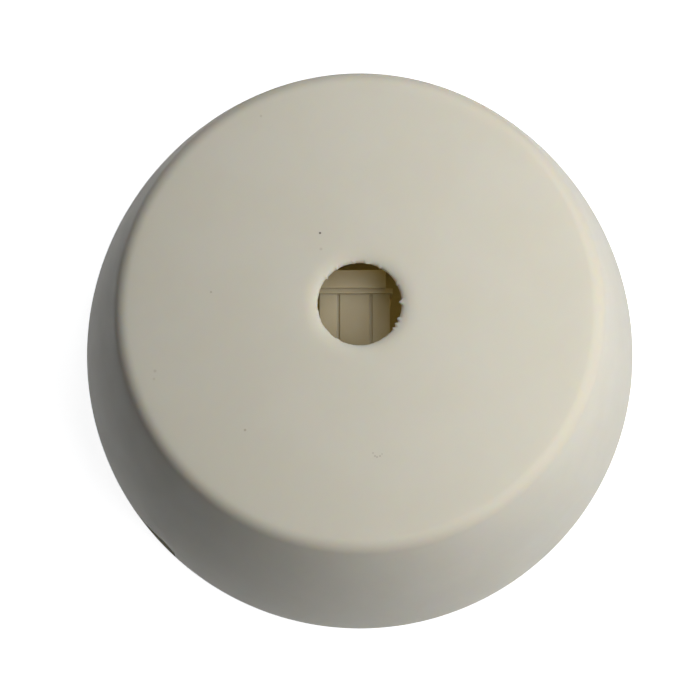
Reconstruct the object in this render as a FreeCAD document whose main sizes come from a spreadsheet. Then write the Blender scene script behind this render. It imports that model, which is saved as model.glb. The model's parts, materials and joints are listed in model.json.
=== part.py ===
import FreeCAD, Part

import math
import os
import re

import Sketcher
from FreeCAD import Placement, Rotation, Vector

# Electrical ceiling rose: a cone-shaped cover over a round base that carries four brass terminals.
# The origin is the centre of the back, where the rose meets the ceiling. +Z points out of the
# ceiling, towards the face of the cover. The terminal row lies along X, on the +Y side.

# Driving sizes: name, value in millimetres or degrees, and what it measures
SIZES = (
    ("cover_height", "33.2", "ceiling to the flat face"),
    ("cone_angle", "18.95", "lean of the cone wall from upright"),
    ("cover_wall", "2.2", "thickness of the cone wall"),
    ("crown_thickness", "2.2", "thickness of the flat face"),
    ("crown_round", "1.8", "outside rounding between face and cone"),
    ("cord_hole_radius", "5", "hole for the pendant cord"),
    ("cord_hole_bevel", "0.6", "bevel of the cord hole at the face"),
    ("mouth_wall", "4.6", "wall round the threaded mouth, at the rim"),
    ("mouth_depth", "8", "height of the threaded mouth"),
    ("mark_turn", "223", "direction of the rim recess, from +X"),
    ("mark_length", "8.2", "length of the rim recess along the rim"),
    ("mark_height", "3", "height of the rim recess at its tall end"),
    ("mark_toe", "0.3", "height of the rim recess at its thin end"),
    ("mark_depth", "0.8", "depth of the rim recess"),
    ("thread_starts", "4", "thread segments on each part"),
    ("ridge_span", "40", "angle that one thread segment covers"),
    ("ridge_rise", "0.8", "climb of one thread segment"),
    ("ridge_height", "1.3", "how far a thread segment stands out"),
    ("ridge_root", "1.8", "width of a thread segment at its root"),
    ("ridge_flank", "0.55", "width that each sloping flank takes"),
    ("ridge_bite", "0.2", "how deep a thread segment is rooted in its wall"),
    ("thread_clearance", "0.5", "thread crest to the wall opposite"),
    ("cover_ridge_lift", "2.7", "ceiling to the lowest thread segment of the cover"),
    ("ridge_play", "0.5", "axial play between the two threads when locked"),
    ("plate_gap", "0.6", "base plate to the mouth of the cover"),
    ("plate_thickness", "2.4", "base plate"),
    ("ring_wall", "2.2", "wall of the threaded ring"),
    ("ring_top", "9.6", "ceiling to the top of the threaded ring"),
    ("fixing_spacing", "50.8", "distance between the two fixing slots"),
    ("fixing_radius", "2.25", "half the width of a fixing slot"),
    ("fixing_length", "8", "end-to-end length of a fixing slot"),
    ("fixing_land", "1.8", "width of the raised land round a fixing slot"),
    ("fixing_rise", "1", "height of that land above the plate"),
    ("land_gap", "0.2", "least gap between that land and the threaded ring"),
    ("entry_radius", "8", "hole in the base for the supply cables"),
    ("entry_gap", "1.3", "cord anchor to the supply hole"),
    ("screw_pitch", "5.2", "distance between terminal screws"),
    ("bar_end", "2.4", "last screw to the end of its terminal"),
    ("bar_depth", "6", "terminal across the row"),
    ("bar_height", "7", "height of a terminal"),
    ("bar_bevel", "0.4", "bevel on a terminal's upright edges"),
    ("bar_gap", "0.1", "clearance round a terminal in its bay"),
    ("tunnel_radius", "1.5", "wire tunnel through a terminal"),
    ("tunnel_height", "3", "underside of a terminal to its wire tunnels"),
    ("barrier", "1.4", "walls of the terminal bays"),
    ("floor_rise", "2.4", "bay floor above the plate"),
    ("wall_over", "0.6", "bay walls above the screw heads"),
    ("sill_gap", "0.5", "front sill of a bay below the wire tunnels"),
    ("core_inset", "1.6", "bay wall to the hollow under the bay floor"),
    ("row_gap", "5.5", "cord anchor to the terminal row"),
    ("row_corner_gap", "0.9", "least gap between the row's corners and the threaded ring"),
    ("earth_gap", "1.5", "supply hole to the walls of the earth terminal"),
    ("earth_lead", "2.5", "earth terminal ahead of the middle of the supply hole"),
    ("screw_radius", "1.3", "shank of a terminal screw"),
    ("screw_clearance", "0.05", "shank to its hole"),
    ("head_radius", "2.15", "head of a terminal screw"),
    ("head_height", "1.8", "head of a terminal screw"),
    ("head_gap", "1.2", "backed-off screw head above its terminal"),
    ("driver_width", "0.7", "screwdriver slot"),
    ("driver_depth", "0.9", "screwdriver slot"),
    ("driver_turn", "47", "how much further each screw is turned than the one before it"),
    ("tip_gap", "0.1", "tip of a backed-off screw above its wire tunnel"),
    ("shroud_thickness", "1.2", "plate of the loop shroud"),
    ("shroud_hole_radius", "1.7", "screwdriver hole in the loop shroud"),
    ("shroud_leg", "1", "thickness of the shroud's clip legs"),
    ("shroud_leg_length", "4.5", "length of the shroud's clip legs"),
    ("shroud_gap", "0.1", "clip legs to the bay walls"),
    ("anchor_x", "-0.6", "middle of the cord anchor"),
    ("anchor_back", "2.3", "back face of the cord anchor's arms"),
    ("anchor_length", "9", "cord anchor from front to back"),
    ("anchor_gap", "2.7", "cross wall of the cord anchor to the inside of the face"),
    ("post_width", "4", "central post of the cord anchor"),
    ("arm_reach", "2.3", "each arm beyond the post"),
    ("arm_thickness", "3", "height of an arm"),
    ("hook_drop", "2.2", "how far the hook at an arm's end turns down"),
    ("hook_width", "0.9", "thickness of that hook"),
    ("groove_width", "0.4", "groove between the post and an arm"),
    ("groove_depth", "0.7", "groove between the post and an arm"),
    ("ledge_depth", "0.6", "ledge in front of the cross wall"),
    ("ledge_rise", "0.4", "ledge above the arms"),
    ("ledge_over", "0.35", "ledge beyond the right arm"),
    ("cross_rise", "0.8", "cross wall above the arms"),
    ("cross_depth", "2.2", "thickness of the cross wall"),
    ("cross_left", "1.3", "cross wall beyond the left arm"),
    ("cross_right", "0.5", "cross wall short of the right arm"),
)

# Number of screws on each terminal, and the terminals of the row from left to right
NEUTRAL_SCREW_COUNT = 3
LOOP_SCREW_COUNT = 3
SWITCHED_SCREW_COUNT = 2
EARTH_SCREW_COUNT = 2
ROW = (("neutral", NEUTRAL_SCREW_COUNT), ("loop", LOOP_SCREW_COUNT), ("switched", SWITCHED_SCREW_COUNT))

NAMES = {name for name, value, note in SIZES}

doc = FreeCAD.newDocument("ceiling_rose")
sheet = doc.addObject("Spreadsheet::Sheet", "sizes")
for line, (name, value, note) in enumerate(SIZES, start=1):
    sheet.set(f"A{line}", note)
    sheet.set(f"B{line}", value)
    sheet.setAlias(f"B{line}", name)
doc.recompute()


def linked(text):
    # the same formula with each size read from the sheet
    return re.sub(r"[a-z_]+", lambda word: "sizes." + word[0] if word[0] in NAMES else word[0], text)


def number(text):
    result = sheet.evalExpression(linked(text))
    return float(getattr(result, "Value", result))


def bind(thing, path, text):
    thing.setExpression(path, linked(text))


def bar_length(count):
    return f"({count - 1} * screw_pitch + 2 * bar_end)"


def bay_length(count):
    return f"({bar_length(count)} + 2 * bar_gap)"


# Heights of the terminals
FLOOR = "(plate_thickness + floor_rise)"
BAR_TOP = f"({FLOOR} + bar_height)"
WALL_TOP = f"({BAR_TOP} + head_gap + head_height + wall_over)"
SHANK = "(bar_height - tunnel_height - tunnel_radius - tip_gap + head_gap)"

# Terminal row, behind the cord anchor
BAY_DEPTH = "(bar_depth + 2 * bar_gap)"
BLOCK_DEPTH = f"({BAY_DEPTH} + 2 * barrier)"
BAY_LENGTHS = " + ".join(bay_length(count) for name, count in ROW)
ROW_LENGTH = f"({BAY_LENGTHS} + {len(ROW) + 1} * barrier)"
ROW_FRONT = "(anchor_back + ledge_depth + cross_depth + row_gap)"
ROW_Y = f"({ROW_FRONT} + {BLOCK_DEPTH} / 2)"

# Supply hole in front of the cord anchor, with the earth terminal beside it
ENTRY_Y = "-(anchor_length - anchor_back + entry_gap + entry_radius)"
EARTH_X = f"-(entry_radius + earth_gap + {bay_length(EARTH_SCREW_COUNT)} / 2 + barrier)"
EARTH_Y = f"({ENTRY_Y} + earth_lead)"

# Radii from the inside out: the threaded ring clears the row's corners and the fixing lands, and the
# cover goes over the ring
ROW_REACH = f"sqrt(({ROW_LENGTH} / 2)^2 + ({ROW_FRONT} + {BLOCK_DEPTH})^2)"
LAND_REACH = "(fixing_spacing / 2 + fixing_length / 2 + fixing_land)"
RING_INNER = f"max({ROW_REACH} + row_corner_gap; {LAND_REACH} + land_gap)"
RING = f"({RING_INNER} + ring_wall)"
MOUTH = f"({RING} + ridge_height + thread_clearance)"
RIM = f"({MOUTH} + mouth_wall)"
LEAN = "tan(cone_angle)"
CROWN = f"({RIM} - {LEAN} * cover_height)"


def bay_centre(place):
    # centre of one bay of the row along X
    before = [bay_length(count) for name, count in ROW[:place]]
    start = " + ".join([f"{place + 1} * barrier"] + before)
    return f"({start} + {bay_length(ROW[place][1])} / 2 - {ROW_LENGTH} / 2)"


def screw_offset(place, count):
    # one screw along its terminal, from the terminal's middle
    return f"({place - (count - 1) / 2} * screw_pitch)"


def new_body(label):
    body = doc.addObject("PartDesign::Body", label)
    body.Label = label
    return body


def origin_feature(body, role):
    return next(item for item in body.Origin.OriginFeatures if item.Role == role)


def sketch_on(body, name, role, lift="0", turn="0"):
    # XY sketches are lifted along +Z, XZ sketches are pushed towards -Y or turned about Z
    sketch = body.newObject("Sketcher::SketchObject", name)
    sketch.AttachmentSupport = [(origin_feature(body, role), "")]
    sketch.MapMode = "FlatFace"
    sketch.AttachmentOffset = Placement(Vector(0, 0, 0), Rotation(Vector(0, 1, 0), number(turn)))
    bind(sketch, "AttachmentOffset.Base.z", lift)
    return sketch


def pin_point(sketch, item, spot, x, y):
    for kind, text in (("DistanceX", x), ("DistanceY", y)):
        place = sketch.addConstraint(Sketcher.Constraint(kind, -1, 1, item, spot, number(text)))
        bind(sketch, f"Constraints[{place}]", text)


def outline(sketch, corners):
    # a closed outline of straight lines through the corners
    spots = [Vector(number(x), number(y), 0) for x, y in corners]
    first = sketch.GeometryCount
    for place, spot in enumerate(spots):
        sketch.addGeometry(Part.LineSegment(spot, spots[(place + 1) % len(spots)]))
    for place, (x, y) in enumerate(corners):
        after = first + (place + 1) % len(spots)
        sketch.addConstraint(Sketcher.Constraint("Coincident", first + place, 2, after, 1))
        pin_point(sketch, first + place, 1, x, y)


def rectangle(sketch, middle_x, middle_y, width, depth):
    left, right = f"{middle_x} - {width} / 2", f"{middle_x} + {width} / 2"
    front, back = f"{middle_y} - {depth} / 2", f"{middle_y} + {depth} / 2"
    outline(sketch, [(left, front), (right, front), (right, back), (left, back)])


def circle(sketch, x, y, radius):
    item = sketch.addGeometry(Part.Circle(Vector(number(x), number(y), 0), Vector(0, 0, 1), number(radius)))
    pin_point(sketch, item, 3, x, y)
    place = sketch.addConstraint(Sketcher.Constraint("Radius", item, number(radius)))
    bind(sketch, f"Constraints[{place}]", radius)


def slot(sketch, x, length, radius):
    # a slot along X, centred on the X axis at x, with round ends
    reach = f"({length} / 2 - {radius})"
    left, right, half = number(f"{x} - {reach}"), number(f"{x} + {reach}"), number(radius)
    up = Vector(0, 0, 1)
    quarter = math.pi / 2
    ends = []
    for middle, start in ((left, quarter), (right, -quarter)):
        ring = Part.Circle(Vector(middle, 0, 0), up, half)
        ends.append(sketch.addGeometry(Part.ArcOfCircle(ring, start, start + 2 * quarter)))
    low = sketch.addGeometry(Part.LineSegment(Vector(left, -half, 0), Vector(right, -half, 0)))
    high = sketch.addGeometry(Part.LineSegment(Vector(right, half, 0), Vector(left, half, 0)))
    for one, one_end, other, other_end in ((0, 2, low, 1), (1, 1, low, 2), (1, 2, high, 1), (0, 1, high, 2)):
        sketch.addConstraint(Sketcher.Constraint("Tangent", ends[one], one_end, other, other_end))
    pin_point(sketch, ends[0], 3, f"{x} - {reach}", "0")
    pin_point(sketch, ends[1], 3, f"{x} + {reach}", "0")
    place = sketch.addConstraint(Sketcher.Constraint("Radius", ends[0], half))
    bind(sketch, f"Constraints[{place}]", radius)


def solid_volume(body):
    doc.recompute()
    return 0 if body.Shape.isNull() else body.Shape.Volume


def pad(body, name, sketch, length):
    feature = body.newObject("PartDesign::Pad", name)
    feature.Profile = sketch
    bind(feature, "Length", length)
    return feature


def pocket(body, name, sketch, length, reverse=False):
    # cuts against the sketch's normal, or along it when reversed
    before = solid_volume(body)
    feature = body.newObject("PartDesign::Pocket", name)
    feature.Profile = sketch
    feature.Reversed = reverse
    bind(feature, "Length", length)
    if solid_volume(body) > before - 1e-6:
        raise RuntimeError(f"{body.Label}: {name} cuts nothing")
    return feature


def revolve(body, name, sketch):
    feature = body.newObject("PartDesign::Revolution", name)
    feature.Profile = sketch
    feature.ReferenceAxis = (origin_feature(body, "Z_Axis"), [""])
    feature.Angle = 360
    doc.recompute()
    return feature


def round_edges(body, name, kind, size_property, size, wanted):
    # rounds or bevels the edges of the body's last feature that wanted() picks
    doc.recompute()
    base = body.Tip
    edges = [f"Edge{place}" for place, edge in enumerate(base.Shape.Edges, start=1) if wanted(edge)]
    if not edges:
        raise RuntimeError(f"{body.Label}: {name} finds no edge")
    feature = body.newObject(kind, name)
    feature.Base = (base, edges)
    bind(feature, size_property, size)
    return feature


def is_ring_edge(edge, radius, height):
    # a full circle about Z of that radius at that height
    if not isinstance(edge.Curve, Part.Circle):
        return False
    off_centre = edge.Curve.Center - Vector(0, 0, height)
    return abs(edge.Curve.Radius - radius) < 1e-4 and off_centre.Length < 1e-4


def thread(body, name, corners, start):
    # one climbing thread segment, repeated round the axis
    doc.recompute()
    section = sketch_on(body, name + "_section", "XZ_Plane", turn=start)
    outline(section, corners)
    ridge = body.newObject("PartDesign::AdditiveHelix", name)
    ridge.Profile = section
    ridge.ReferenceAxis = (origin_feature(body, "Z_Axis"), [""])
    ridge.Mode = "height-turns-angle"
    bind(ridge, "Height", "ridge_rise")
    bind(ridge, "Turns", "ridge_span / 360")
    ridge.Angle = 0
    doc.recompute()
    ring = body.newObject("PartDesign::PolarPattern", name + "_starts")
    ring.Originals = [ridge]
    ring.Axis = (origin_feature(body, "Z_Axis"), [""])
    ring.Angle = 360
    bind(ring, "Occurrences", "thread_starts")
    body.Tip = ring
    doc.recompute()


def inside_cone(height):
    # inner radius of the cone wall at a height
    return f"({RIM} - {LEAN} * ({height}) - cover_wall * sqrt(1 + {LEAN}^2))"


def make_cover():
    body = new_body("cover")
    inner_face = "cover_height - crown_thickness"
    section = sketch_on(body, "cover_section", "XZ_Plane")
    outline(section, [
        (RIM, "0"),
        (CROWN, "cover_height"),
        ("cord_hole_radius", "cover_height"),
        ("cord_hole_radius", inner_face),
        (inside_cone(inner_face), inner_face),
        (inside_cone("mouth_depth"), "mouth_depth"),
        (MOUTH, "mouth_depth"),
        (MOUTH, "0"),
    ])
    revolve(body, "shell", section)
    top = number("cover_height")
    for name, kind, size_property, size, radius in (
        ("face_rounding", "PartDesign::Fillet", "Radius", "crown_round", CROWN),
        ("cord_hole_lip", "PartDesign::Chamfer", "Size", "cord_hole_bevel", "cord_hole_radius"),
    ):
        at_radius = number(radius)
        round_edges(body, name, kind, size_property, size, lambda edge: is_ring_edge(edge, at_radius, top))

    # inner thread segments, which stand in the gaps between those of the base until the cover is turned
    low, high = "cover_ridge_lift", "cover_ridge_lift + ridge_root"
    root, crest = f"{MOUTH} + ridge_bite", f"{MOUTH} - ridge_height"
    corners = [(root, low), (root, high), (crest, f"{high} - ridge_flank"), (crest, f"{low} + ridge_flank")]
    thread(body, "inner_thread", corners, "180 / thread_starts - ridge_span / 2")

    # shallow wedge-shaped recess at the rim, on a plane that follows the cone
    lean = math.atan(number(LEAN))
    turn = math.radians(number("mark_turn"))
    outward = Vector(math.cos(turn) * math.cos(lean), math.sin(turn) * math.cos(lean), math.sin(lean))
    along = Vector(-math.sin(turn), math.cos(turn), 0)
    stand_off = number("mark_depth")
    corner = Vector(math.cos(turn), math.sin(turn), 0) * number(RIM) + outward * stand_off
    recess = sketch_on(body, "rim_recess_outline", "XY_Plane")
    recess.setExpression("AttachmentOffset.Base.z", None)
    recess.AttachmentOffset = Placement(corner, Rotation(along, outward.cross(along), outward))
    outline(recess, [
        ("-mark_length / 2", "-mark_height"),
        ("mark_length / 2", "-mark_height"),
        ("mark_length / 2", "mark_height"),
        ("-mark_length / 2", "mark_toe"),
    ])
    pocket(body, "rim_recess", recess, "2 * mark_depth")
    return body


def terminal_block(body, name, middle_x, middle_y, bays):
    # a walled block with one bay for each terminal: bays hold each bay's centre and number of screws
    bay_lengths = " + ".join(bay_length(count) for centre, count in bays)
    length = f"({bay_lengths} + {len(bays) + 1} * barrier)"
    block = sketch_on(body, name + "_outline", "XY_Plane", lift="plate_thickness")
    rectangle(block, middle_x, middle_y, length, BLOCK_DEPTH)
    pad(body, name, block, f"{WALL_TOP} - plate_thickness")
    hollow = sketch_on(body, name + "_bay_outlines", "XY_Plane", lift=WALL_TOP)
    for centre, count in bays:
        rectangle(hollow, centre, middle_y, bay_length(count), BAY_DEPTH)
    pocket(body, name + "_bays", hollow, f"{WALL_TOP} - {FLOOR}")

    # the side that faces -Y is open for the wires above a low sill
    front = f"{middle_y} - {BLOCK_DEPTH} / 2"
    sill, above = f"{FLOOR} + tunnel_height - tunnel_radius - sill_gap", f"{WALL_TOP} + 1"
    mouths = sketch_on(body, name + "_mouth_outlines", "XZ_Plane", lift=f"-({front})")
    for centre, count in bays:
        left, right = f"{centre} - {bay_length(count)} / 2", f"{centre} + {bay_length(count)} / 2"
        outline(mouths, [(left, sill), (right, sill), (right, above), (left, above)])
    pocket(body, name + "_mouths", mouths, "barrier")

    # hollows in the back, under the bay floors, which keep the moulding's thickness even
    hollows = sketch_on(body, name + "_core_outlines", "XY_Plane")
    for centre, count in bays:
        width, depth = f"({bay_length(count)} - 2 * core_inset)", f"({BAY_DEPTH} - 2 * core_inset)"
        rectangle(hollows, centre, middle_y, width, depth)
    pocket(body, name + "_cores", hollows, "floor_rise", reverse=True)


def cord_anchor(body):
    # post with two down-turned arms, in front of a cross wall: the cord's cores hook under the arms
    back, front = "anchor_back", "(anchor_back - anchor_length)"
    left_arm = "(anchor_x - post_width / 2 - arm_reach)"
    right_arm = "(anchor_x + post_width / 2 + arm_reach)"
    arm_top = "(cover_height - crown_thickness - anchor_gap - cross_rise)"
    arm_low, hook_low = f"({arm_top} - arm_thickness)", f"({arm_top} - arm_thickness - hook_drop)"
    post_left, post_right = "(anchor_x - post_width / 2)", "(anchor_x + post_width / 2)"
    section = sketch_on(body, "anchor_section", "XZ_Plane", lift=f"-({back})")
    foot = "(plate_thickness / 2)"
    outline(section, [
        (post_left, foot), (post_right, foot), (post_right, arm_low),
        (f"{right_arm} - hook_width", arm_low), (f"{right_arm} - hook_width", hook_low),
        (right_arm, hook_low), (right_arm, arm_top), (left_arm, arm_top), (left_arm, hook_low),
        (f"{left_arm} + hook_width", hook_low), (f"{left_arm} + hook_width", arm_low), (post_left, arm_low),
    ])
    pad(body, "anchor", section, "anchor_length")
    grooves = sketch_on(body, "anchor_groove_outlines", "XY_Plane", lift=arm_top)
    for middle in (post_left, post_right):
        left, right = f"{middle} - groove_width / 2", f"{middle} + groove_width / 2"
        outline(grooves, [(left, f"{front} - 1"), (right, f"{front} - 1"), (right, back), (left, back)])
    pocket(body, "anchor_grooves", grooves, "groove_depth")

    ledge_back = f"({back} + ledge_depth)"
    ledge = sketch_on(body, "ledge_outline", "XY_Plane", lift=foot)
    left = f"{left_arm} - cross_left"
    outline(ledge, [
        (left, back), (f"{right_arm} + ledge_over", back),
        (f"{right_arm} + ledge_over", ledge_back), (left, ledge_back),
    ])
    pad(body, "ledge", ledge, f"{arm_top} + ledge_rise - {foot}")
    wall = sketch_on(body, "cross_wall_outline", "XY_Plane", lift=foot)
    outline(wall, [
        (left, ledge_back), (f"{right_arm} - cross_right", ledge_back),
        (f"{right_arm} - cross_right", f"{ledge_back} + cross_depth"), (left, f"{ledge_back} + cross_depth"),
    ])
    pad(body, "cross_wall", wall, f"{arm_top} + cross_rise - {foot}")


def make_base():
    body = new_body("base")
    plate_radius = f"({MOUTH} - plate_gap)"
    section = sketch_on(body, "base_section", "XZ_Plane")
    outline(section, [
        ("0", "0"), (plate_radius, "0"), (plate_radius, "plate_thickness"),
        (RING, "plate_thickness"), (RING, "ring_top"), (RING_INNER, "ring_top"),
        (RING_INNER, "plate_thickness"), ("0", "plate_thickness"),
    ])
    revolve(body, "plate_and_ring", section)

    # outer thread segments, centred on the axes: those of the cover slide under them as it is turned
    low = "cover_ridge_lift + ridge_root + ridge_play"
    high = f"{low} + ridge_root"
    root, crest = f"{RING} - ridge_bite", f"{RING} + ridge_height"
    corners = [(root, low), (crest, f"{low} + ridge_flank"), (crest, f"{high} - ridge_flank"), (root, high)]
    thread(body, "outer_thread", corners, "-ridge_span / 2")

    bays = [(bay_centre(place), count) for place, (name, count) in enumerate(ROW)]
    terminal_block(body, "terminal_row", "0", ROW_Y, bays)
    terminal_block(body, "earth_block", EARTH_X, EARTH_Y, [(EARTH_X, EARTH_SCREW_COUNT)])
    cord_anchor(body)

    lands = sketch_on(body, "fixing_land_outlines", "XY_Plane", lift="plate_thickness / 2")
    land_length, land_radius = "(fixing_length + 2 * fixing_land)", "(fixing_radius + fixing_land)"
    for side in ("-", ""):
        slot(lands, f"{side}fixing_spacing / 2", land_length, land_radius)
    pad(body, "fixing_lands", lands, "plate_thickness / 2 + fixing_rise")
    top = "(plate_thickness + fixing_rise)"
    slots = sketch_on(body, "fixing_slot_outlines", "XY_Plane", lift=top)
    for side in ("-", ""):
        slot(slots, f"{side}fixing_spacing / 2", "fixing_length", "fixing_radius")
    pocket(body, "fixing_slots", slots, top)

    entry = sketch_on(body, "cable_entry_outline", "XY_Plane", lift="plate_thickness")
    circle(entry, "0", ENTRY_Y, "entry_radius")
    pocket(body, "cable_entry", entry, "plate_thickness")
    return body


def place_body(body, x, y, z, turn=0):
    body.Placement = Placement(Vector(0, 0, 0), Rotation(Vector(0, 0, 1), turn))
    for axis, text in (("x", x), ("y", y), ("z", z)):
        bind(body, f"Placement.Base.{axis}", text)


def make_bar(label, count):
    # brass terminal: a bar with a wire tunnel and a screw hole at each way, its origin under its middle
    body = new_body(label)
    blank = sketch_on(body, label + "_outline", "XY_Plane")
    rectangle(blank, "0", "0", bar_length(count), "bar_depth")
    pad(body, label + "_bar", blank, "bar_height")
    round_edges(body, label + "_bevels", "PartDesign::Chamfer", "Size", "bar_bevel",
                lambda edge: abs(edge.tangentAt(edge.FirstParameter).z) > 0.99)
    tunnels = sketch_on(body, label + "_tunnel_outlines", "XZ_Plane", lift="bar_depth / 2")
    holes = sketch_on(body, label + "_hole_outlines", "XY_Plane", lift="bar_height")
    for place in range(count):
        circle(tunnels, screw_offset(place, count), "tunnel_height", "tunnel_radius")
        circle(holes, screw_offset(place, count), "0", "screw_radius + screw_clearance")
    pocket(body, label + "_tunnels", tunnels, "bar_depth")
    pocket(body, label + "_holes", holes, "bar_height - tunnel_height")
    return body


def make_screw(label):
    # slotted cheese-head screw, its origin at the tip
    body = new_body(label)
    top = f"({SHANK} + head_height)"
    section = sketch_on(body, label + "_section", "XZ_Plane")
    outline(section, [
        ("0", "0"), ("screw_radius", "0"), ("screw_radius", SHANK), ("head_radius", SHANK),
        ("head_radius", top), ("0", top),
    ])
    revolve(body, label + "_turning", section)
    drive = sketch_on(body, label + "_slot_outline", "XY_Plane", lift=top)
    rectangle(drive, "0", "0", "(2 * head_radius + 1)", "driver_width")
    pocket(body, label + "_slot", drive, "driver_depth")
    return body


def make_shroud():
    # insulating cap that clips over the loop terminal, which stays live when the lamp is off
    place = [name for name, count in ROW].index("loop")
    count = ROW[place][1]
    body = new_body("loop_shroud")
    length = f"({bay_length(count)} + 2 * barrier)"
    plate = sketch_on(body, "shroud_outline", "XY_Plane")
    depth = f"({BLOCK_DEPTH} + 2 * shroud_gap + 2 * shroud_leg)"
    rectangle(plate, "0", "0", length, depth)
    pad(body, "shroud_plate", plate, "shroud_thickness")
    holes = sketch_on(body, "shroud_hole_outlines", "XY_Plane", lift="shroud_thickness")
    for way in range(count):
        circle(holes, screw_offset(way, count), "0", "shroud_hole_radius")
    pocket(body, "shroud_holes", holes, "shroud_thickness")
    legs = sketch_on(body, "shroud_leg_outlines", "XY_Plane", lift="-shroud_leg_length")
    leg_x = f"({bay_length(count)} + barrier) / 2"
    leg_y = f"({BLOCK_DEPTH} / 2 + shroud_gap + shroud_leg / 2)"
    for side_x in ("-", ""):
        for side_y in ("-", ""):
            rectangle(legs, side_x + leg_x, side_y + leg_y, "barrier", "shroud_leg")
    pad(body, "shroud_legs", legs, "shroud_leg_length + shroud_thickness / 2")
    place_body(body, bay_centre(place), ROW_Y, WALL_TOP)
    return body


pieces = [make_cover(), make_base(), make_shroud()]
terminals = [(name, count, bay_centre(place), ROW_Y) for place, (name, count) in enumerate(ROW)]
terminals.append(("earth", EARTH_SCREW_COUNT, EARTH_X, EARTH_Y))
for name, count, middle_x, middle_y in terminals:
    bar = make_bar(name + "_terminal", count)
    place_body(bar, middle_x, middle_y, FLOOR)
    pieces.append(bar)
    for way in range(count):
        screw = make_screw(f"{name}_screw_{way + 1}")
        turn = number("driver_turn") * len(pieces)
        place_body(screw, f"{middle_x} + {screw_offset(way, count)}", middle_y,
                   f"{BAR_TOP} + head_gap - {SHANK}", turn)
        pieces.append(screw)

doc.recompute()
for item in doc.Objects:
    if {"Invalid", "Error"} & set(item.State):
        raise RuntimeError(f"{item.Label} failed: {item.State}")
for piece in pieces:
    if piece.Shape.isNull() or not piece.Shape.isValid() or len(piece.Shape.Solids) != 1:
        raise RuntimeError(f"{piece.Label} is not one sound solid")

os.makedirs("parts", exist_ok=True)
for piece in pieces:
    piece.Shape.exportStep(f"parts/{piece.Label}.step")
    box = piece.Shape.BoundBox
    print(f"{piece.Label}: {piece.Shape.Volume:.1f} mm3, x {box.XMin:.2f} {box.XMax:.2f},"
          f" y {box.YMin:.2f} {box.YMax:.2f}, z {box.ZMin:.2f} {box.ZMax:.2f}")
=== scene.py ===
import json
import math

import bmesh
import bpy
from mathutils import Matrix, Vector, noise


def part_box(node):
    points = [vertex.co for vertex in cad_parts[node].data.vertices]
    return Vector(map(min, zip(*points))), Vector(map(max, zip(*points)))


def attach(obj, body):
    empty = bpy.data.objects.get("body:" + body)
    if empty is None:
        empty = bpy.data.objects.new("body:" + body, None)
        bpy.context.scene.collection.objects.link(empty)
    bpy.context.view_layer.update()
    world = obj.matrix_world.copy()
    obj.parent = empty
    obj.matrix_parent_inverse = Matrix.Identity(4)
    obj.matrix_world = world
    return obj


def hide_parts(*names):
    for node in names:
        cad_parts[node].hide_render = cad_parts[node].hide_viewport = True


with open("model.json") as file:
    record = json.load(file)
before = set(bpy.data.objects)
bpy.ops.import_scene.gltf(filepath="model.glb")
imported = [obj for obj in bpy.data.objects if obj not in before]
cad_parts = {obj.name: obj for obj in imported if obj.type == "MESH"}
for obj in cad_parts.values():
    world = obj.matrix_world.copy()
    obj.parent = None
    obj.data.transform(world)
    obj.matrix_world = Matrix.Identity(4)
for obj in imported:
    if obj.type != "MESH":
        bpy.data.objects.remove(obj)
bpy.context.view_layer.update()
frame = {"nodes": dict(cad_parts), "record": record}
mm = 0.001

scene = bpy.context.scene
scene.view_settings.view_transform = "Standard"

# where the photograph was taken from, in millimetres
photoCamera = {
    "position": (-0.21, -26.16, 153.4),
    "target": (-1.12, -5.65, 33.2),
    "focalPixels": 1051,
    "framePixels": 700,
    "sensorWidth": 36,
    "nearest": 1,  # nothing closer than this shows
}


def cameraAxes():
    # right, up and back of the camera, with +Y up in the picture
    back = (Vector(photoCamera["position"]) - Vector(photoCamera["target"])).normalized()
    right = Vector((0, 1, 0)).cross(back).normalized()
    return right, back.cross(right), back


def photoPoint(pixel, height):
    # the point at that height, in millimetres, that shows at that pixel
    right, up, back = cameraAxes()
    middle, focal = photoCamera["framePixels"] / 2, photoCamera["focalPixels"]
    across, down = (pixel[0] - middle) / focal, (pixel[1] - middle) / focal
    ray = right * across - up * down - back
    start = Vector(photoCamera["position"])
    return start + ray * ((height - start.z) / ray.z)


def linkPiece(name, mesh):
    piece = bpy.data.objects.new(name, mesh)
    scene.collection.objects.link(piece)
    return piece


def dressPiece(piece, material, body, slot, *nodes):
    # material, body, finish (not used) and the CAD nodes that the piece stands for
    piece.data.materials.clear()
    piece.data.materials.append(material)
    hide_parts(*nodes)
    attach(piece, body)


def smoothByAngle(mesh, degrees):
    # smooth faces, with the edges sharper than the angle kept crisp
    bm = bmesh.new()
    bm.from_mesh(mesh)
    bmesh.ops.recalc_face_normals(bm, faces=bm.faces)
    for face in bm.faces:
        face.smooth = True
    for edge in bm.edges:
        edge.smooth = edge.calc_face_angle(math.pi) < math.radians(degrees)
    bm.to_mesh(mesh)
    bm.free()


def applyModifiers(piece):
    # the evaluated shape as a plain mesh
    evaluated = piece.evaluated_get(bpy.context.evaluated_depsgraph_get())
    shape = bpy.data.meshes.new_from_object(evaluated)
    piece.modifiers.clear()
    piece.data = shape


# Materials

# the part of a noise's range that counts: nothing shows below the first number, all of it above the second
noiseEdges = {"cloud": (0.35, 0.65), "sheen": (0.3, 0.7), "tarnish": (0.45, 0.7)}
bumpStrength = {"wave": 0.2, "grain": 0.25, "lines": 0.35}


def startMaterial(name):
    material = bpy.data.materials.new(name)
    material.use_nodes = True
    place = material.node_tree.nodes.new("ShaderNodeTexCoord").outputs["Object"]
    return material, material.node_tree, material.node_tree.nodes["Principled BSDF"], place


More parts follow.
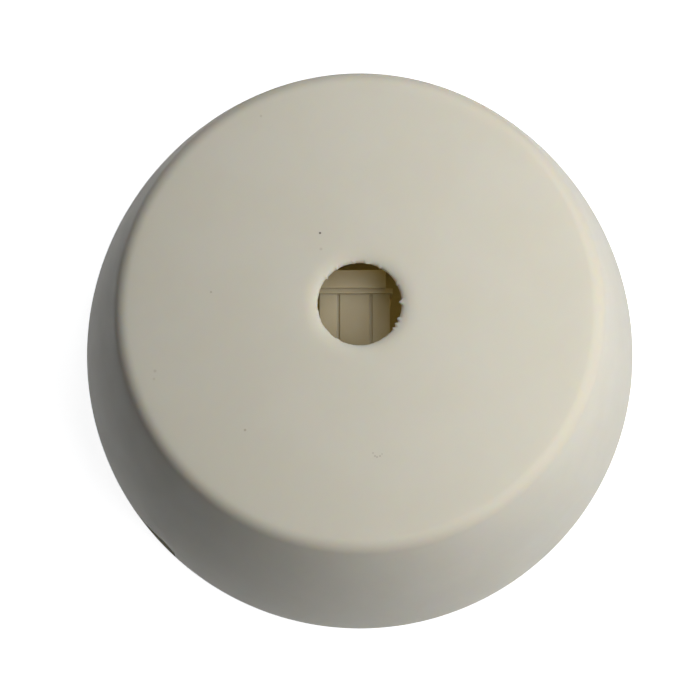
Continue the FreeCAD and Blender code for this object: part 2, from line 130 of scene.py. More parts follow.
def noiseAt(tree, place, size, detail=2, stretch=(1, 1, 1)):
    # noise whose grain is about that many millimetres
    scaled = tree.nodes.new("ShaderNodeMapping")
    scaled.inputs["Scale"].default_value = stretch
    tree.links.new(place, scaled.inputs["Vector"])
    grain = tree.nodes.new("ShaderNodeTexNoise")
    grain.inputs["Scale"].default_value = 1 / (size * mm)
    grain.inputs["Detail"].default_value = detail
    tree.links.new(scaled.outputs["Vector"], grain.inputs["Vector"])
    return grain.outputs["Fac"]


def remap(tree, value, low, high, toLow=0, toHigh=1):
    stretch = tree.nodes.new("ShaderNodeMapRange")
    stretch.interpolation_type = "SMOOTHSTEP"
    tree.links.new(value, stretch.inputs["Value"])
    for socket, number in (("From Min", low), ("From Max", high), ("To Min", toLow), ("To Max", toHigh)):
        stretch.inputs[socket].default_value = number
    return stretch.outputs["Result"]


def mixColours(tree, factor, first, second):
    mix = tree.nodes.new("ShaderNodeMix")
    mix.data_type = "RGBA"
    tree.links.new(factor, mix.inputs["Factor"])
    for socket, colour in ((mix.inputs["A"], first), (mix.inputs["B"], second)):
        if isinstance(colour, tuple):
            socket.default_value = (*colour, 1)
        else:
            tree.links.new(colour, socket)
    return mix.outputs["Result"]


def maths(tree, operation, *values):
    node = tree.nodes.new("ShaderNodeMath")
    node.operation = operation
    for socket, value in zip(node.inputs, values):
        if isinstance(value, (int, float)):
            socket.default_value = value
        else:
            tree.links.new(value, socket)
    return node.outputs["Value"]


def distanceTo(tree, place, point):
    node = tree.nodes.new("ShaderNodeVectorMath")
    node.operation = "DISTANCE"
    tree.links.new(place, node.inputs[0])
    node.inputs[1].default_value = point
    return node.outputs["Value"]


def addBump(tree, shader, layers):
    # layers hold a height value, its strength and its depth in millimetres
    under = None
    for height, strength, depth in layers:
        bump = tree.nodes.new("ShaderNodeBump")
        bump.inputs["Strength"].default_value = strength
        bump.inputs["Distance"].default_value = depth * mm
        tree.links.new(height, bump.inputs["Height"])
        if under:
            tree.links.new(under, bump.inputs["Normal"])
        under = bump.outputs["Normal"]
    tree.links.new(under, shader.inputs["Normal"])


def paintShadeRing(tree, place, look, colour):
    # a ring of painted warm shade round the axis, for the shading where light seeps through the thin
    # rounded edge
    flat = tree.nodes.new("ShaderNodeVectorMath")
    flat.operation = "MULTIPLY"
    tree.links.new(place, flat.inputs[0])
    flat.inputs[1].default_value = (1, 1, 0)
    radius = distanceTo(tree, flat.outputs["Vector"], (0, 0, 0))
    off = maths(tree, "ABSOLUTE", maths(tree, "SUBTRACT", radius, look["paintedShadeRadius"] * mm))
    core, reach = look["paintedShadeCore"] * look["paintedShadeHalf"] * mm, look["paintedShadeHalf"] * mm
    return mixColours(tree, remap(tree, off, core, reach, look["paintedShadeShare"], 0), colour, look["paintedShadeColour"])


def plasticMaterial(name, look, marks=()):
    # moulded plastic: faint mottling, a fine spark-eroded grain, a few small marks, some of them painted
    # shade, and where the look asks for it a ring of painted warm shade
    material, tree, shader, place = startMaterial(name)
    cloud = remap(tree, noiseAt(tree, place, look["cloudSize"], 3), *noiseEdges["cloud"])
    colour = mixColours(tree, cloud, look["colour"], look["cloudColour"])
    for centre, radius, softness, markColour in marks:
        away = distanceTo(tree, place, centre)
        spot = remap(tree, away, (radius - softness) * mm, (radius + softness) * mm, 1, 0)
        colour = mixColours(tree, spot, colour, markColour)
    # a ring of painted warm shade at the rounded edge of the face
    if "paintedShadeRadius" in look:
        colour = paintShadeRing(tree, place, look, colour)
    tree.links.new(colour, shader.inputs["Base Color"])
    grain = noiseAt(tree, place, look["grainSize"], 2)
    sheen = noiseAt(tree, place, look["sheenSize"], 3)
    roughness = remap(tree, sheen, *noiseEdges["sheen"], *look["roughness"])
    tree.links.new(roughness, shader.inputs["Roughness"])
    shader.inputs["IOR"].default_value = look["ior"]
    shader.inputs["Specular IOR Level"].default_value = look["shine"]
    shader.inputs["Subsurface Weight"].default_value = look["glow"]
    shader.inputs["Subsurface Radius"].default_value = look["glowReach"]
    shader.inputs["Subsurface Scale"].default_value = mm
    wave = noiseAt(tree, place, look["waveSize"], 1)
    addBump(tree, shader, [(wave, bumpStrength["wave"], look["waveDepth"]),
                           (grain, bumpStrength["grain"], look["grainDepth"])])
    return material


def brassMaterial(name, look):
    # drawn or turned brass: fine tool lines and patches of tarnish
    material, tree, shader, place = startMaterial(name)
    patches = remap(tree, noiseAt(tree, place, look["tarnishSize"], 4), *noiseEdges["tarnish"])
    tree.links.new(mixColours(tree, patches, look["colour"], look["tarnish"]), shader.inputs["Base Color"])
    shader.inputs["Metallic"].default_value = 1
    lines = noiseAt(tree, place, look["lineSize"], 2, look["lineStretch"])
    tree.links.new(remap(tree, patches, 0, 1, *look["roughness"]), shader.inputs["Roughness"])
    addBump(tree, shader, [(lines, bumpStrength["lines"], look["lineDepth"])])
    return material


# Cover, in millimetres and degrees

cover = {
    "coneAngle": 18.95,
    "wall": 2.2,
    "crown": 2.2,
    "crownRound": 2.1,
    "innerRound": 0.8,
    "rimRound": 0.25,
    "wallCurve": 1.31,  # the wall leaves the rim upright and curves in, 1 would be a straight cone
    "holeRadius": 5.0,
    "lipWidth": 2.0,  # the face dips a little towards the cord hole
    "lipDrop": 0.65,
    "landDepth": 1.0,  # below this the hole widens
    "holeFlare": 0.7,
    "mouthRadius": 35.4,
    "mouthDepth": 8.0,
    "mouthBevel": 0.3,
    "crease": 35,  # edges sharper than this stay crisp
    "toolCrease": 30,
    "turns": 360,  # divisions round the axis
    # divisions of each stretch of the section
    "steps": {
        "rim": 4,
        "wall": 24,
        "edge": 8,
        "face": 12,
        "land": 4,
        "innerEdge": 4,
        "inner": 8,
        "mouth": 6,
    },
    # thread segments inside the mouth
    "thread": {
        "count": 4,
        "firstAt": 45,
        "span": 40,
        "rise": 0.8,
        "lift": 2.7,
        "root": 1.8,
        "flank": 0.55,
        "height": 1.3,
        "bite": 0.2,
        "steps": 40,
        "taper": 3,  # degrees over which each end dies out
        "endShare": 0.12,  # how much of the height is left at the very end
    },
    # slanting pocket just above the rim
    "recess": {
        "turn": 223,
        "length": 8.2,
        "foot": 0.8,
        "height": 7.5,
        "toe": 3.4,
        "depth": 0.5,
        "proud": 2,  # how far its cutter stands out of the wall
        "lean": 7,
    },
    "burrs": {
        # direction, width in degrees and how far each stands into the cord hole
        "marks": [
            (2, 7, 0.34), (-22, 6, 0.3), (-30, 5, 0.28), (-37, 4, 0.2), (28, 5, 0.18), (80, 9, 0.16),
            (62, 6, 0.16), (98, 7, 0.14), (141, 3, 0.24), (122, 4, 0.16), (-120, 8, 0.1), (168, 5, 0.08),
        ],
        "ripple": 0.1,
        "rippleSize": 5.5,  # ripples per radian
        "fineShare": 0.7,  # a second ripple, finer and lower
        "fineSize": 17,
        "bluntness": 0.6,  # 1 would be pointed burrs
        "fall": 0.6,  # under 1 they stand in most above the middle of the edge
        "start": 0.4,  # they start at this share of the dip
        "end": 1.3,  # and end at this share of the land
        "edgeBand": 0.3,  # points this close to the hole move with them
    },
    "plastic": {
        "colour": (0.668, 0.64, 0.545),
        "cloudColour": (0.66, 0.63, 0.53),
        "cloudSize": 9,
        "grainSize": 0.16,
        "grainDepth": 0.012,
        "waveSize": 5,
        "waveDepth": 0.05,
        "sheenSize": 3,
        "roughness": (0.45, 0.52),
        "ior": 1.46,
        "shine": 0.08,
        "glow": 0.7,
        "glowReach": (2.2, 1.4, 0.7),
        "paintedShadeRadius": 28.4,  # painted warm shade on the rounded edge of the face, where light seeps through the thin plastic
        "paintedShadeHalf": 1.1,
        "paintedShadeCore": 0.2,  # the share of that half with the full tint
        "paintedShadeColour": (0.62, 0.56, 0.455),
        "paintedShadeShare": 0.2,
    },
    # small marks, by where the photograph shows them: pixel, height, radius, softness, colour
    "marks": {
        "darkDot": ((320, 233), 33.2, 0.12, 0.06, (0.1, 0.08, 0.06)),
        "faintDot": ((321, 249), 33.2, 0.14, 0.12, (0.56, 0.52, 0.42)),
        "leftDot": ((211, 292), 33.2, 0.11, 0.08, (0.48, 0.44, 0.35)),
        "lowerDot": ((245, 430), 33.2, 0.12, 0.08, (0.46, 0.41, 0.31)),
        "hairStart": ((373, 453), 33.2, 0.07, 0.06, (0.46, 0.42, 0.34)),
        "hairBend": ((375, 456), 33.2, 0.08, 0.06, (0.44, 0.4, 0.32)),
        "hairMiddle": ((377, 457), 33.2, 0.08, 0.06, (0.44, 0.4, 0.32)),
        "hairRise": ((380, 456), 33.2, 0.08, 0.06, (0.46, 0.42, 0.34)),
        "hairEnd": ((382, 454), 33.2, 0.06, 0.06, (0.48, 0.44, 0.36)),
        "edgeDot": ((155, 371), 33.2, 0.14, 0.12, (0.56, 0.52, 0.42)),
        "edgeDotBelow": ((154, 379), 33.2, 0.12, 0.12, (0.58, 0.54, 0.44)),
        "topDot": ((261, 116), 33.2, 0.12, 0.1, (0.55, 0.51, 0.41)),
        # the four marks in the slanting recess are painted shade, darker olive where the recess lies in
        # shade
        "recessShadeNarrow": ((151, 530), 1.5, 0.3, 1.5, (0.57, 0.53, 0.42)),
        "recessShadeMiddle": ((161, 540), 2, 0.3, 1.8, (0.55, 0.51, 0.4)),
        "recessShadeWide": ((172, 549), 2.2, 0.3, 1.8, (0.55, 0.51, 0.4)),
        "recessShadeEnd": ((180, 555), 2.2, 0.3, 1.6, (0.57, 0.53, 0.42)),
    },
}


def coverReach():
    # radius of the rim and height of the face
    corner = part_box("cover")[1]
    return corner.x / mm, corner.z / mm


def arcPoints(centre, radius, start, end, steps):
    # points on an arc in the section, angles in degrees from outwards to up
    points = []
    for step in range(steps + 1):
        angle = math.radians(start + (end - start) * step / steps)
        points.append((centre[0] + radius * math.cos(angle), centre[1] + radius * math.sin(angle)))
    return points


def linePoints(start, end, steps):
    # points inside a straight stretch, without its ends
    return [(start[0] + (end[0] - start[0]) * step / steps, start[1] + (end[1] - start[1]) * step / steps)
            for step in range(1, steps)]


def outerWall(rim, crownMiddle):
    # the curved wall from the rounding of the rim to that of the face, and its slope at the top
    rimRound, crownRound, steps = cover["rimRound"], cover["crownRound"], cover["steps"]["wall"]
    slope = math.radians(cover["coneAngle"])
    for _ in range(5):
        # where the wall meets the rounding depends on the slope, and a few rounds settle both
        drop = rim - crownMiddle[0] - crownRound * math.cos(slope)
        rise = crownMiddle[1] + crownRound * math.sin(slope) - rimRound
        slope = math.atan(cover["wallCurve"] * drop / rise)
    wall = [(rim - drop * (step / steps) ** cover["wallCurve"], rimRound + rise * step / steps)
            for step in range(1, steps)]
    return wall, math.degrees(slope)


def coverSection():
    # closed section of the cover, from the rim up the outside and back down the inside
    rim, top = coverReach()
    cone, steps = math.radians(cover["coneAngle"]), cover["steps"]

    def coneMiddle(height, inset):
        # the point that far inside the cone, square to it, at that height
        return rim - height * math.tan(cone) - inset * (1 / math.cos(cone)), height

    rimRound, crownRound, innerRound = cover["rimRound"], cover["crownRound"], cover["innerRound"]
    points = arcPoints((rim - rimRound, rimRound), rimRound, -90, 0, steps["rim"])
    crownMiddle = coneMiddle(top - crownRound, crownRound)
    wall, slope = outerWall(rim, crownMiddle)
    points += wall + arcPoints(crownMiddle, crownRound, slope, 90, steps["edge"])

    hole, lip, dip = cover["holeRadius"], cover["lipWidth"], cover["lipDrop"]
    lipTurns = [math.pi / 2 * (step / steps["edge"]) for step in range(steps["edge"] + 1)]
    lipArc = [(hole + lip * (1 - math.sin(turn)), top - dip * (1 - math.cos(turn))) for turn in lipTurns]
    points += linePoints(points[-1], lipArc[0], steps["face"]) + lipArc
    under = top - cover["crown"]
    land, flare = (hole, top - cover["landDepth"]), (hole + cover["holeFlare"], under)
    points += linePoints(points[-1], land, steps["land"]) + [land]
    points += linePoints(land, flare, steps["land"]) + [flare]

    innerMiddle = coneMiddle(under - innerRound, cover["wall"] + innerRound)
    innerArc = arcPoints(innerMiddle, innerRound, 90, math.degrees(cone), steps["innerEdge"])
    points += linePoints(points[-1], innerArc[0], steps["inner"]) + innerArc
    ledge = (coneMiddle(cover["mouthDepth"], cover["wall"])[0], cover["mouthDepth"])
    points += linePoints(points[-1], ledge, steps["inner"]) + [ledge]
    mouth, bevel = cover["mouthRadius"], cover["mouthBevel"]
    mouthTop = (mouth, cover["mouthDepth"])
    points += [mouthTop] + linePoints(mouthTop, (mouth, bevel), steps["mouth"])
    return points + [(mouth, bevel), (mouth + bevel, 0)]


def burrDepth(angle, depthShare):
    # how far the torn edge of the cord hole stands in, at an angle and a share of the way down the edge
    burrs = cover["burrs"]
    spot = Vector((math.cos(angle), math.sin(angle), depthShare))
    reach = burrs["ripple"] * noise.noise(spot * burrs["rippleSize"])
    reach += burrs["ripple"] * burrs["fineShare"] * noise.noise(spot * burrs["fineSize"])
    for direction, width, size in burrs["marks"]:
        off = (math.degrees(angle) - direction + 180) % 360 - 180
        reach += size * max(0, 1 - abs(off) / (width / 2)) ** burrs["bluntness"]
    return max(0, reach) * math.sin(math.pi * min(1, max(0, depthShare)) ** burrs["fall"])


def revolveCover():
    # grid of the section turned round the axis; both ways round it closes on itself
    section, burrs = coverSection(), cover["burrs"]
    top = coverReach()[1]
    start, end = top - cover["lipDrop"] * burrs["start"], top - cover["landDepth"] * burrs["end"]
    points, faces = [], []
    turns, rows = cover["turns"], len(section)
    for turn in range(turns):
        angle = 2 * math.pi * turn / turns
        for radius, height in section:
            if radius < cover["holeRadius"] + burrs["edgeBand"] and height >= end:
                radius -= burrDepth(angle, (start - height) / (start - end))
            points.append(Vector((radius * math.cos(angle), radius * math.sin(angle), height)) * mm)
    for turn in range(turns):
        here, there = turn * rows, (turn + 1) % turns * rows
        for row in range(rows):
            after = (row + 1) % rows
            faces.append((here + row, there + row, there + after, here + after))
    mesh = bpy.data.meshes.new("coverShell")
    mesh.from_pydata(points, [], faces)
    return mesh


def threadSegments():
    # trapezoid ridges that climb round the inside of the mouth, their ends tapered
    thread, mouth = cover["thread"], cover["mouthRadius"]
    flank, left = thread["flank"], thread["endShare"]
    points, faces = [], []
    for place in range(thread["count"]):
        middle = thread["firstAt"] + 360 / thread["count"] * place
        base = len(points)
        for step in range(thread["steps"] + 1):
            along = thread["span"] * step / thread["steps"]
            taper = min(1, along / thread["taper"], (thread["span"] - along) / thread["taper"])
            angle = math.radians(middle - thread["span"] / 2 + along)
            low = thread["lift"] + thread["rise"] * step / thread["steps"]
            high = low + thread["root"]
            crest = mouth - thread["height"] * (left + (1 - left) * math.sin(taper * math.pi / 2))
            root = mouth + thread["bite"]
            for radius, height in ((root, low), (root, high), (crest, high - flank), (crest, low + flank)):
                points.append(Vector((radius * math.cos(angle), radius * math.sin(angle), height)) * mm)
        for step in range(thread["steps"]):
            here = base + 4 * step
            for side in range(4):
                after = (side + 1) % 4
                faces.append((here + side, here + after, here + 4 + after, here + 4 + side))
        faces.append((base, base + 3, base + 2, base + 1))
        last = base + 4 * thread["steps"]
        faces.append((last, last + 1, last + 2, last + 3))
    mesh = bpy.data.meshes.new("threadSegments")
    mesh.from_pydata(points, [], faces)
    smoothByAngle(mesh, cover["toolCrease"])
    return mesh


def recessCutter():
    # prism on a plane that leans like the foot of the wall, as deep as the recess
    recess = cover["recess"]
    lean, turn = math.radians(recess["lean"]), math.radians(recess["turn"])
    outward = Vector((math.cos(turn) * math.cos(lean), math.sin(turn) * math.cos(lean), math.sin(lean)))
    along = Vector((-math.sin(turn), math.cos(turn), 0))
    upward = outward.cross(along)
    rim = Vector((math.cos(turn), math.sin(turn), 0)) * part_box("cover")[1].x / mm
    half, foot = recess["length"] / 2, recess["foot"]
    outline = ((-half, foot), (half, foot), (half, recess["height"]), (-half, recess["toe"]))
    points = [(rim + along * x + upward * y + outward * depth) * mm
              for depth in (-recess["depth"], recess["proud"]) for x, y in outline]
    faces = [(3, 2, 1, 0), (4, 5, 6, 7)]
    faces += [(side, (side + 1) % 4, (side + 1) % 4 + 4, side + 4) for side in range(4)]
    mesh = bpy.data.meshes.new("recessCutter")
    mesh.from_pydata(points, [], faces)
    smoothByAngle(mesh, cover["toolCrease"])
    return mesh


def makeCover():
    shell = linkPiece("coverShell", revolveCover())
    smoothByAngle(shell.data, cover["crease"])
    tools = [linkPiece("threadSegments", threadSegments()), linkPiece("recessCutter", recessCutter())]
    for tool, operation in zip(tools, ("UNION", "DIFFERENCE")):
        modifier = shell.modifiers.new(tool.name, "BOOLEAN")
        modifier.operation = operation
        modifier.solver = "EXACT"
        modifier.object = tool
    applyModifiers(shell)
    for tool in tools:
        bpy.data.objects.remove(tool)
    smoothByAngle(shell.data, cover["crease"])
    marks = [(photoPoint(pixel, height) * mm, radius, softness, colour)
             for pixel, height, radius, softness, colour in cover["marks"].values()]
    dressPiece(shell, plasticMaterial("creamPlastic", cover["plastic"], marks), "cover", "cover", "cover")
    print("cover:", len(shell.data.polygons), "faces")


# Base, terminals and shroud: the CAD shapes with their edges softened

softEdges = {
    "base": {"piece": "baseMoulding", "width": 0.08, "slot": "base"},
    "loop_shroud": {"piece": "loopShroud", "width": 0.1, "slot": "shroud"},
    "neutral_terminal": {"piece": "neutralTerminal", "width": 0.1, "slot": "terminal"},
    "loop_terminal": {"piece": "loopTerminal", "width": 0.1, "slot": "terminal"},
    "switched_terminal": {"piece": "switchedTerminal", "width": 0.1, "slot": "terminal"},
    "earth_terminal": {"piece": "earthTerminal", "width": 0.1, "slot": "terminal"},
}

# how a CAD shape is softened, in millimetres and degrees
softening = {
    "mergeWithin": 0.002,
    "flatWithin": 0.4,  # triangles this close to one plane become one face
    "bevelFrom": 38,  # edges sharper than this are rounded
    "bevelSegments": 2,
    "crease": 32,
}

# the two grooves of the cord anchor are shallower in the photograph than in the CAD shape, millimetres
anchorGrooves = {"middle": -0.6, "near": 1.7, "far": 2.3, "floor": 26.8, "floorBand": 0.02, "rise": 0.45}

# the base is the same cream plastic as the cover; its colour here is painted darker and browner, as painted
# shade for the dim light under the cover
shadedBasePlastic = {
    "colour": (0.385, 0.348, 0.262),
    "cloudColour": (0.37, 0.33, 0.245),
    "cloudSize": 7,
    "grainSize": 0.2,
    "grainDepth": 0.015,
    "waveSize": 4,
    "waveDepth": 0.04,
    "sheenSize": 3,
    "roughness": (0.5, 0.6),
    "ior": 1.46,
    "shine": 0.12,
    "glow": 0.5,
    "glowReach": (2, 1.3, 0.7),
}

shroudPlastic = dict(
    shadedBasePlastic,
    colour=(0.76, 0.73, 0.65),
    cloudColour=(0.74, 0.7, 0.61),
    roughness=(0.32, 0.4),
)

barBrass = {
    "colour": (0.72, 0.56, 0.26),
    "tarnish": (0.56, 0.4, 0.17),
    "tarnishSize": 2.2,
    "lineSize": 0.12,
    "lineStretch": (0.04, 1, 1),
    "lineDepth": 0.01,
    "roughness": (0.28, 0.5),
}


def shallowGrooves(bm):
    # lifts the floors of the cord anchor's grooves
    for vert in bm.verts:
        off = abs(vert.co.x / mm - anchorGrooves["middle"])
        onFloor = abs(vert.co.z / mm - anchorGrooves["floor"]) < anchorGrooves["floorBand"]
        if onFloor and anchorGrooves["near"] < off < anchorGrooves["far"]:
            vert.co.z += anchorGrooves["rise"] * mm


def softenedCopy(node, name, width):
    # the CAD shape without its loose triangles, its edges rounded by a bevel
    bm = bmesh.new()
    bm.from_mesh(frame["nodes"][node].data)
    bmesh.ops.remove_doubles(bm, verts=bm.verts, dist=softening["mergeWithin"] * mm)
    if node == "base":
        shallowGrooves(bm)
    flat = math.radians(softening["flatWithin"])
    bmesh.ops.dissolve_limit(bm, angle_limit=flat, verts=bm.verts, edges=bm.edges)
    bm.verts.index_update()
    points = [vert.co.copy() for vert in bm.verts]
    faces = [[vert.index for vert in face.verts] for face in bm.faces]
    bm.free()
    mesh = bpy.data.meshes.new(name)
    mesh.from_pydata(points, [], faces)
    piece = linkPiece(name, mesh)
    bevel = piece.modifiers.new("softEdge", "BEVEL")
    bevel.width = width * mm
    bevel.segments = softening["bevelSegments"]
    bevel.limit_method = "ANGLE"
    bevel.angle_limit = math.radians(softening["bevelFrom"])
    bevel.use_clamp_overlap = True
    applyModifiers(piece)
    smoothByAngle(piece.data, softening["crease"])
    return piece


def makeBase():
    finishes = {
        "base": plasticMaterial("shadedBasePlastic", shadedBasePlastic),
        "shroud": plasticMaterial("shroudPlastic", shroudPlastic),
        "terminal": brassMaterial("drawnBrass", barBrass),
    }
    for node, plan in softEdges.items():
        piece = softenedCopy(node, plan["piece"], plan["width"])
        dressPiece(piece, finishes[plan["slot"]], "base", plan["slot"], node)
        print(plan["piece"] + ":", len(piece.data.polygons), "faces")


# Terminal screws, repeated from one slotted screw

terminalScrew = {
    # millimetres, each an input of the tree
    "sizes": {
        "headRadius": 2.15,
        "headHeight": 1.8,
        "headEdge": 0.25,
        "shankRadius": 1.2,
        "shankLength": 3.6,
        "slotWidth": 0.7,
        "slotDepth": 0.9,
        "threadPitch": 0.6,
        "threadHeight": 0.1,
    },
    "sides": 40,
    "threadSteps": 24,  # divisions of one turn of the thread
    "threadSides": 3,
    "turnBetween": 47,  # how much further each screw is turned than the one before it
    "crease": 32,
    "brass": dict(
        barBrass,
        colour=(0.8, 0.66, 0.34),
        tarnish=(0.66, 0.5, 0.24),
        lineStretch=(1, 1, 0.1),
        roughness=(0.2, 0.38),
    ),
}


def screwTree(material):
    # one screw with its tip at the origin, put on every point and turned by the point's own angle
    tree = bpy.data.node_groups.new("slottedScrews", "GeometryNodeTree")
    face = tree.interface
    face.new_socket("Geometry", in_out="INPUT", socket_type="NodeSocketGeometry")
    face.new_socket("Geometry", in_out="OUTPUT", socket_type="NodeSocketGeometry")
    sockets = {name: face.new_socket(name, in_out="INPUT", socket_type="NodeSocketFloat").identifier
               for name in terminalScrew["sizes"]}
    nodes, links = tree.nodes, tree.links
    get = nodes.new("NodeGroupInput").outputs
    result = nodes.new("NodeGroupOutput")

    def fill(socket, value):
        if isinstance(value, bpy.types.NodeSocket):
            links.new(value, socket)
        else:
            socket.default_value = value

    def add(kind, settings=None, **inputs):
        node = nodes.new(kind)
        for key, value in (settings or {}).items():
            setattr(node, key, value)
        for name, value in inputs.items():
            fill(node.inputs[name.replace("_", " ")], value)
        return node

    def plain(operation, first, second):
        node = add("ShaderNodeMath", {"operation": operation})
        fill(node.inputs[0], first)
        fill(node.inputs[1], second)
        return node.outputs[0]

    def moved(mesh, height):
        lift = add("ShaderNodeCombineXYZ", Z=height)
        return add("GeometryNodeTransform", Geometry=mesh, Translation=lift.outputs[0]).outputs["Geometry"]

    def drum(radius, depth, foot, narrow=0):
        # cylinder or, where its top is narrower, the bevel of a turned edge
        cone = add("GeometryNodeMeshCone", Vertices=terminalScrew["sides"], Radius_Bottom=radius,
                   Radius_Top=plain("SUBTRACT", radius, narrow), Depth=depth)
        return moved(cone.outputs["Mesh"], foot)

    headLow = get["shankLength"]
    plainHead = plain("SUBTRACT", get["headHeight"], get["headEdge"])
    edgeLow = plain("ADD", headLow, plainHead)
    solids = [
        drum(get["shankRadius"], get["shankLength"], 0),
        drum(get["headRadius"], plainHead, headLow),
        drum(get["headRadius"], get["headEdge"], edgeLow, get["headEdge"]),
    ]

    turns = plain("DIVIDE", get["shankLength"], get["threadPitch"])
    spiral = add("GeometryNodeCurveSpiral", Resolution=terminalScrew["threadSteps"], Rotations=turns,
                 Start_Radius=get["shankRadius"], End_Radius=get["shankRadius"], Height=get["shankLength"])
    ridge = add("GeometryNodeCurvePrimitiveCircle", Resolution=terminalScrew["threadSides"],
                Radius=get["threadHeight"])
    thread = add("GeometryNodeCurveToMesh", Curve=spiral.outputs["Curve"],
                 Profile_Curve=ridge.outputs["Curve"], Fill_Caps=True)

    # the slot's cutter is half as wide again as the head, and twice as deep as the slot
    width, height = plain("MULTIPLY", get["headRadius"], 3), plain("MULTIPLY", get["slotDepth"], 2)
    size = add("ShaderNodeCombineXYZ", X=width, Y=get["slotWidth"], Z=height)
    cutter = add("GeometryNodeMeshCube", Size=size.outputs[0])
    cut = moved(cutter.outputs["Mesh"], plain("ADD", headLow, get["headHeight"]))
    whole = add("GeometryNodeMeshBoolean", {"operation": "UNION"})
    for solid in solids:
        links.new(solid, whole.inputs[1])
    slotted = add("GeometryNodeMeshBoolean", {"operation": "DIFFERENCE"})
    links.new(whole.outputs[0], slotted.inputs[0])
    links.new(cut, slotted.inputs[1])
    joined = add("GeometryNodeJoinGeometry")
    links.new(slotted.outputs[0], joined.inputs[0])
    links.new(thread.outputs[0], joined.inputs[0])

    angle = add("GeometryNodeInputNamedAttribute", {"data_type": "FLOAT"}, Name="turn")
    spin = add("ShaderNodeCombineXYZ", Z=angle.outputs[0])
    placed = add("GeometryNodeInstanceOnPoints", Points=get["Geometry"], Instance=joined.outputs[0],
                 Rotation=spin.outputs[0])
    real = add("GeometryNodeRealizeInstances", Geometry=placed.outputs["Instances"])
    finish = add("GeometryNodeSetMaterial", Geometry=real.outputs["Geometry"], Material=material)
    links.new(finish.outputs["Geometry"], result.inputs["Geometry"])
    return tree, sockets


def makeScrews():
    order = [part["node"] for part in frame["record"]["subparts"]]
    names = [name for name in order if "_screw_" in name]
    tips = []
    for name in names:
        low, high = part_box(name)
        tips.append(((low.x + high.x) / 2, (low.y + high.y) / 2, low.z))
    mesh = bpy.data.meshes.new("terminalScrews")
    mesh.from_pydata(tips, [], [])
    turns = mesh.attributes.new("turn", "FLOAT", "POINT")
    for place, name in enumerate(names):
        turns.data[place].value = math.radians(terminalScrew["turnBetween"] * order.index(name))
    piece = linkPiece("terminalScrews", mesh)
    material = brassMaterial("turnedBrass", terminalScrew["brass"])
    tree, sockets = screwTree(material)
    modifier = piece.modifiers.new("screws", "NODES")
    modifier.node_group = tree
    for name, value in terminalScrew["sizes"].items():
        modifier[sockets[name]] = value * mm
    applyModifiers(piece)
    smoothByAngle(piece.data, terminalScrew["crease"])
    dressPiece(piece, material, "base", "screw", *names)
    print("terminal screws:", len(names), "screws,", len(piece.data.polygons), "faces")


# Stage, light and camera

stage = {
    "floorSize": 1.2,
    "floorColour": (0.8, 0.8, 0.8),
    "floorGlow": 0.88,  # how bright the floor shows by itself near the object
    "shadowReach": (0.12, 0.3),  # from the first to the second it turns plain white
    "skyStrength": 0.075,
    "skyColour": (0.93, 0.98, 1.08),
}

# two soft lights on the right, and two weak warm ones under the cover for the light that its thin wall
# lets through: millimetres and watts
softLights = {
    "frontSoft": {
        "position": (81, -47, 114),
        "target": (0, 0, 30),
        "size": 100,
        "power": 0.101,
        "colour": (1, 1, 1),
        "mirrored": True,
    },
    "backSoft": {
        "position": (47, 56, 133),
        "target": (0, 0, 30),
        "size": 100,
        "power": 0.085,
        "colour": (1, 1, 1),
        "mirrored": True,
    },
    "throughFace": {
        "position": (0, 0, 30.8),
        "target": (0, 0, 0),
        "size": 50,
        "power": 0.001,
        "colour": (1, 0.76, 0.22),
        "mirrored": False,
    },
    "throughWall": {
        "position": (0, 8, 24),
        "target": (0, 8, 0),
        "size": 48,
        "power": 0.0024,
        "colour": (1, 0.76, 0.24),
        "mirrored": False,
    },
}


def seenDirectly(tree):
    # 1 for rays that show the background itself: straight, mirrored or through glass
    path = tree.nodes.new("ShaderNodeLightPath")
    either = maths(tree, "MAXIMUM", path.outputs["Is Camera Ray"], path.outputs["Is Glossy Ray"])
    return maths(tree, "MAXIMUM", either, path.outputs["Is Transmission Ray"])


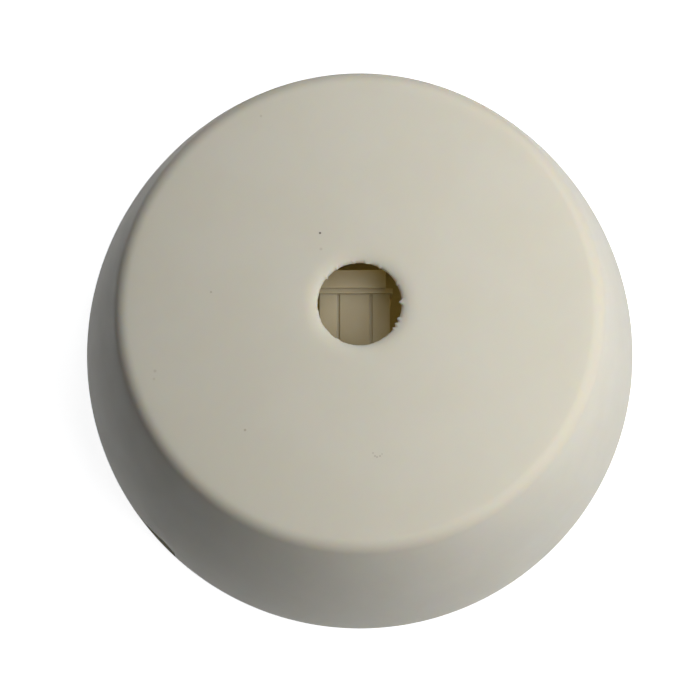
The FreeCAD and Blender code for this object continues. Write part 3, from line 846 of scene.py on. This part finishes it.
def makeFloor():
    half = stage["floorSize"] / 2
    corners = [(-half, -half, 0), (half, -half, 0), (half, half, 0), (-half, half, 0)]
    mesh = bpy.data.meshes.new("floor")
    mesh.from_pydata(corners, [], [(0, 1, 2, 3)])
    floor = linkPiece("floor", mesh)
    material, tree, shader, place = startMaterial("paleFloor")
    shader.inputs["Base Color"].default_value = (*stage["floorColour"], 1)
    shader.inputs["Roughness"].default_value = 1
    shader.inputs["Specular IOR Level"].default_value = 0
    shader.inputs["Emission Color"].default_value = (1, 1, 1, 1)
    glow = remap(tree, distanceTo(tree, place, (0, 0, 0)), *stage["shadowReach"], stage["floorGlow"], 1)
    tree.links.new(maths(tree, "MULTIPLY", seenDirectly(tree), glow), shader.inputs["Emission Strength"])
    floor.data.materials.append(material)
    print("floor:", stage["floorSize"], "m")


def makeSky():
    world = bpy.data.worlds.new("sky")
    scene.world = world
    world.use_nodes = True
    sky = world.node_tree
    background = sky.nodes["Background"]
    direct = seenDirectly(sky)
    sky.links.new(mixColours(sky, direct, stage["skyColour"], (1, 1, 1)), background.inputs["Color"])
    sky.links.new(remap(sky, direct, 0, 1, stage["skyStrength"], 1), background.inputs["Strength"])
    print("sky: strength", stage["skyStrength"])


def makeLights():
    for name, plan in softLights.items():
        light = bpy.data.lights.new(name, "AREA")
        light.shape = "DISK"
        light.size = plan["size"] * mm
        light.energy = plan["power"]
        light.color = plan["colour"]
        lamp = bpy.data.objects.new(name, light)
        scene.collection.objects.link(lamp)
        lamp.location = Vector(plan["position"]) * mm
        aim = Vector(plan["target"]) - Vector(plan["position"])
        lamp.rotation_euler = aim.to_track_quat("-Z", "Y").to_euler()
        lamp.visible_camera = False
        lamp.visible_glossy = plan["mirrored"]
    print("lights:", len(softLights))


def makeCamera():
    lens = bpy.data.cameras.new("camera")
    lens.sensor_width = photoCamera["sensorWidth"]
    lens.lens = lens.sensor_width * photoCamera["focalPixels"] / photoCamera["framePixels"]
    lens.clip_start = photoCamera["nearest"] * mm
    camera = bpy.data.objects.new("camera", lens)
    scene.collection.objects.link(camera)
    turned = Matrix(cameraAxes()).transposed().to_4x4()
    camera.matrix_world = Matrix.Translation(Vector(photoCamera["position"]) * mm) @ turned
    scene.camera = camera
    print("camera: lens", round(lens.lens, 2), "mm")


makeCamera()
makeCover()
makeBase()
makeScrews()
makeFloor()
makeSky()
makeLights()

print("scene ready")
